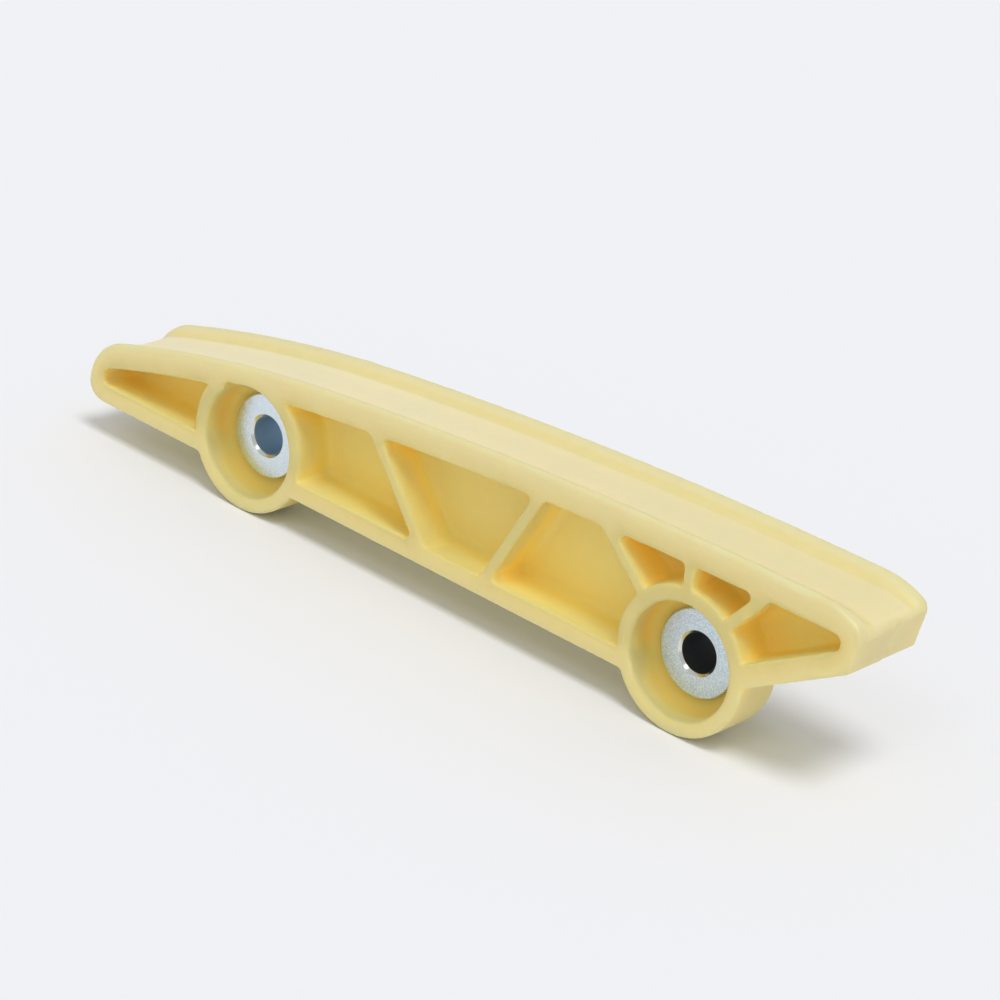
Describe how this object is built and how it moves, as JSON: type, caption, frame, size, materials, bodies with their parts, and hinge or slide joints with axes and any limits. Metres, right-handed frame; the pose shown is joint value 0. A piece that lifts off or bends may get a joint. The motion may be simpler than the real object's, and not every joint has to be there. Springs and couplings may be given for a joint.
{
  "type": "timing chain guide",
  "caption": "Curved, ribbed nylon rail with a lipped channel that guides an engine's timing chain, bolted on through flanged steel sleeves in round bosses.",
  "frame": {"origin": "on the right bolt hole's axis, at the middle of the rail's width", "axes": "+X along the bolt line from the long end to the short end, +Y along the bolts towards the engine, +Z towards the chain"},
  "size_m": [0.1725, 0.0188, 0.035],
  "materials": {
    "nylon": "natural cream-yellow polyamide, slightly translucent, satin as moulded",
    "zinc_steel": "zinc-plated steel, grainy bluish white, bright at the bore's edge"
  },
  "bodies": {
    "root": {"guide_rail": "nylon", "left_sleeve": "zinc_steel", "right_sleeve": "zinc_steel"}
  },
  "joints": []
}
